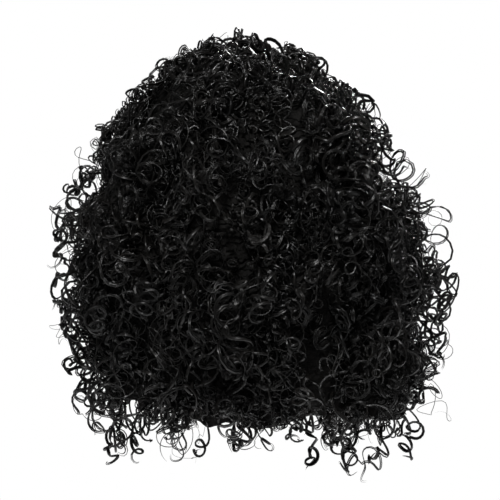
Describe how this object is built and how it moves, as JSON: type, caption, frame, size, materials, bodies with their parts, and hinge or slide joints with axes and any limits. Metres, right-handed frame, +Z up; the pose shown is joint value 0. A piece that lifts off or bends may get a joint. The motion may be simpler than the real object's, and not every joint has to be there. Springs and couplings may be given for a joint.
{
  "type": "curly headband wig",
  "caption": "Full curly wig of shoulder length in black synthetic fibre, on a net cap edged by a cloth headband, shown in its worn form.",
  "frame": {"origin": "inside of the cap's crown, where the top of the wearer's head sits", "axes": "+Z up out of the crown; the wearer faces -Y; +X is the wearer's left"},
  "size_m": [0.3508, 0.2744, 0.3663],
  "materials": {
    "cap_net": "fine stretch net, matt",
    "band_cloth": "fine knitted stretch cloth, matt",
    "curled_fibre": "heat-set synthetic fibre in tight curls, soft sheen"
  },
  "bodies": {
    "root": {"net_cap": "cap_net", "headband": "band_cloth", "crown_curls": "curled_fibre", "upper_curls": "curled_fibre", "middle_curls": "curled_fibre", "lower_curls": "curled_fibre"}
  },
  "joints": []
}
